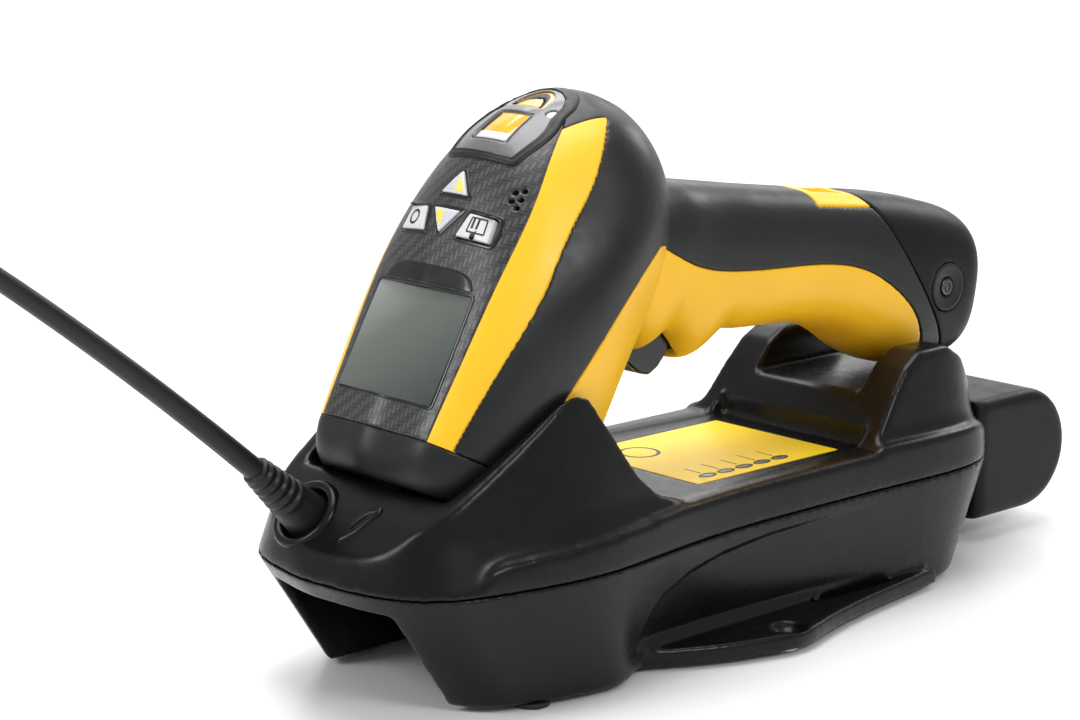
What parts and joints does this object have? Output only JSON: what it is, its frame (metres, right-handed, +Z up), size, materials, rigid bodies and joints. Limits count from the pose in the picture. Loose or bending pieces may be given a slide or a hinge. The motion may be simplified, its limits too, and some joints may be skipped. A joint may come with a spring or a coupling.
{
  "type": "handheld barcode scanner",
  "caption": "Cordless pistol-grip handheld barcode scanner with display and keys, standing in its desk charging cradle with radio antenna and spare battery.",
  "frame": {"origin": "on the table plane under the cradle, midway between its two side mounting holes measured along Y, and near the middle of its length", "axes": "+Z up; +X towards the scanner's handle end and the cradle's rear; the scanner's nose and the antenna point to -X"},
  "size_m": [0.3884, 0.11, 0.1539],
  "materials": {
    "black_housing": "fine-textured satin black ABS",
    "black_rubber": "matte black overmould",
    "yellow_plastic": "satin safety yellow",
    "panel_weave": "black panel with a fine basket weave print",
    "cradle_black": "semi-gloss black ABS",
    "label_yellow": "printed polycarbonate label",
    "trigger_black": "gloss black",
    "lcd": "grey-green reflective LCD",
    "clear_lens": "clear acrylic",
    "window_tint": "dark red scan window",
    "amber_lens": "amber light pipe",
    "bezel_silver": "satin silver paint",
    "key_white": "light grey keycap",
    "pcb": "green solder mask",
    "steel": "bright steel",
    "dark_steel": "blackened steel",
    "gold": "gold-plated contacts",
    "foot_rubber": "matte rubber",
    "antenna_black": "satin black rubber",
    "pack_black": "satin black"
  },
  "bodies": {
    "cradle": {"cradle_base": "cradle_black", "cradle_upper": "cradle_black", "deck_label": "label_yellow", "light_windows": "clear_lens", "charge_pins": "gold", "rubber_feet": "foot_rubber", "base_screws": "dark_steel", "cradle_board": "pcb", "antenna_boot": "antenna_black", "antenna_socket": "steel", "antenna_whip": "antenna_black", "data_port": "pack_black", "power_inlet": "pack_black"},
    "scanner": {"battery_contacts": "gold", "beeper": "dark_steel", "charge_pads": "gold", "contact_block": "pack_black", "display_lens": "clear_lens", "display_module": "lcd", "engine_bracket": "steel", "engine_lens": "clear_lens", "keypad_mat": "foot_rubber", "latch_spring": "steel", "lower_housing": "yellow_plastic", "main_board": "pcb", "nose_bumper": "black_rubber", "scan_engine": "dark_steel", "scan_window": "window_tint", "status_bezel": "bezel_silver", "status_leds": "clear_lens", "status_lens_round": "amber_lens", "status_lens_square": "amber_lens", "stripe_left": "yellow_plastic", "stripe_right": "yellow_plastic", "top_panel": "panel_weave", "trigger_pin": "steel", "trigger_spring": "steel", "trigger_switch": "pack_black", "upper_housing": "black_housing"},
    "trigger": {"trigger": "trigger_black"},
    "latch": {"latch_button": "yellow_plastic"},
    "battery": {"battery_pack": "pack_black", "battery_cap": "black_housing", "cap_discs": "black_rubber", "cap_screws": "dark_steel"},
    "spare_battery": {"spare_pack": "pack_black", "spare_cap": "black_housing"},
    "key_up": {"key_up": "key_white"},
    "key_down": {"key_down": "key_white"},
    "key_left": {"key_left": "key_white"},
    "key_right": {"key_right": "key_white"}
  },
  "joints": [
    {"name": "scanner_lift", "type": "slide", "parent": "cradle", "child": "scanner", "axis": [0.4959, 0, 0.8684], "range_m": [0, 0.15]},
    {"name": "trigger_pull", "type": "hinge", "parent": "scanner", "child": "trigger", "pos_m": [-0.00962, 0, 0.09187], "axis": [0, -1, 0], "range_deg": [0, 7], "stiffness_Nm_per_rad": 0.4, "springref_deg": -2.86},
    {"name": "latch_press", "type": "slide", "parent": "scanner", "child": "latch", "axis": [-0.1793, 0, -0.9838], "range_m": [0, 0.0012], "stiffness_N_per_m": 900, "springref_m": -0.0006},
    {"name": "battery_slide", "type": "slide", "parent": "scanner", "child": "battery", "axis": [0.9838, 0, -0.1793], "range_m": [0, 0.11]},
    {"name": "spare_battery_slide", "type": "slide", "parent": "cradle", "child": "spare_battery", "axis": [1, 0, 0], "range_m": [0, 0.08]},
    {"name": "key_up_press", "type": "slide", "parent": "scanner", "child": "key_up", "axis": [0.8684, 0, -0.4959], "range_m": [0, 0.0006], "stiffness_N_per_m": 600, "springref_m": -0.0004},
    {"name": "key_down_press", "type": "slide", "parent": "scanner", "child": "key_down", "axis": [0.8684, 0, -0.4959], "range_m": [0, 0.0006], "stiffness_N_per_m": 600, "springref_m": -0.0004},
    {"name": "key_left_press", "type": "slide", "parent": "scanner", "child": "key_left", "axis": [0.8684, 0, -0.4959], "range_m": [0, 0.0006], "stiffness_N_per_m": 600, "springref_m": -0.0004},
    {"name": "key_right_press", "type": "slide", "parent": "scanner", "child": "key_right", "axis": [0.8684, 0, -0.4959], "range_m": [0, 0.0006], "stiffness_N_per_m": 600, "springref_m": -0.0004}
  ]
}
